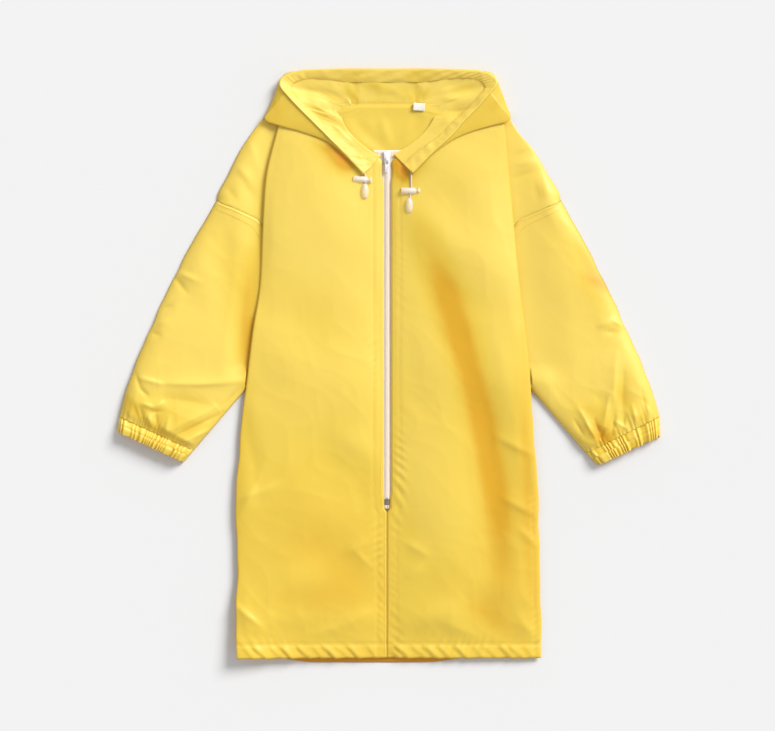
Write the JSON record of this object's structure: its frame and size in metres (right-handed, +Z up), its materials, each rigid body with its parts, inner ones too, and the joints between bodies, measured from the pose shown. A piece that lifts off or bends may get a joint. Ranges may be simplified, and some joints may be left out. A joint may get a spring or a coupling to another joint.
{
  "type": "kids raincoat",
  "caption": "Child's hooded raincoat in thin coated cloth, laid out flat, with a front zip, elastic cuffs and drawcord locks at the hood.",
  "frame": {"origin": "on the ground under the middle of the laid-out coat's box", "axes": "+X to the right of the view from above, +Y from the hem to the hood, +Z up off the surface that the coat lies on"},
  "size_m": [0.7077, 0.771, 0.0167],
  "materials": {
    "coated_nylon": "thin yellow nylon with a soft waterproof sheen",
    "zip_tape": "woven white zip tape",
    "zip_coil": "white nylon coil",
    "label_tape": "blank white woven label",
    "drawcord": "braided cream cord",
    "milky_plastic": "translucent milky moulded plastic",
    "white_enamel": "white enamel on die-cast metal",
    "dark_steel": "dark pressed metal"
  },
  "bodies": {
    "coat": {"back_panel": "coated_nylon", "front_left": "coated_nylon", "front_right": "coated_nylon", "sleeve_left": "coated_nylon", "sleeve_right": "coated_nylon", "cuff_left": "coated_nylon", "cuff_right": "coated_nylon", "hood_left": "coated_nylon", "hood_centre": "coated_nylon", "hood_right": "coated_nylon", "hood_casing": "coated_nylon", "neck_label": "label_tape", "zip_tape_left": "zip_tape", "zip_tape_right": "zip_tape", "zip_coil": "zip_coil", "zip_slider": "white_enamel", "zip_bottom_stop": "dark_steel", "drawcord_left": "drawcord", "drawcord_right": "drawcord", "cord_lock_barrel_left": "milky_plastic", "cord_bead_left": "milky_plastic", "cord_lock_barrel_right": "milky_plastic", "cord_bead_right": "milky_plastic"},
    "pull_tab": {"zip_pull": "white_enamel"},
    "left_plunger": {"cord_lock_plunger_left": "milky_plastic"},
    "right_plunger": {"cord_lock_plunger_right": "milky_plastic"}
  },
  "joints": [
    {"name": "pull_tab_hinge", "type": "hinge", "parent": "coat", "child": "pull_tab", "pos_m": [-0.0026, 0.267, 0.0075], "axis": [-1, 0, 0], "range_deg": [0, 165]},
    {"name": "left_lock_press", "type": "slide", "parent": "coat", "child": "left_plunger", "axis": [-0.9976, 0.0698, 0], "range_m": [0, 0.003], "stiffness_N_per_m": 60},
    {"name": "right_lock_press", "type": "slide", "parent": "coat", "child": "right_plunger", "axis": [-1, 0, 0], "range_m": [0, 0.003], "stiffness_N_per_m": 60}
  ]
}
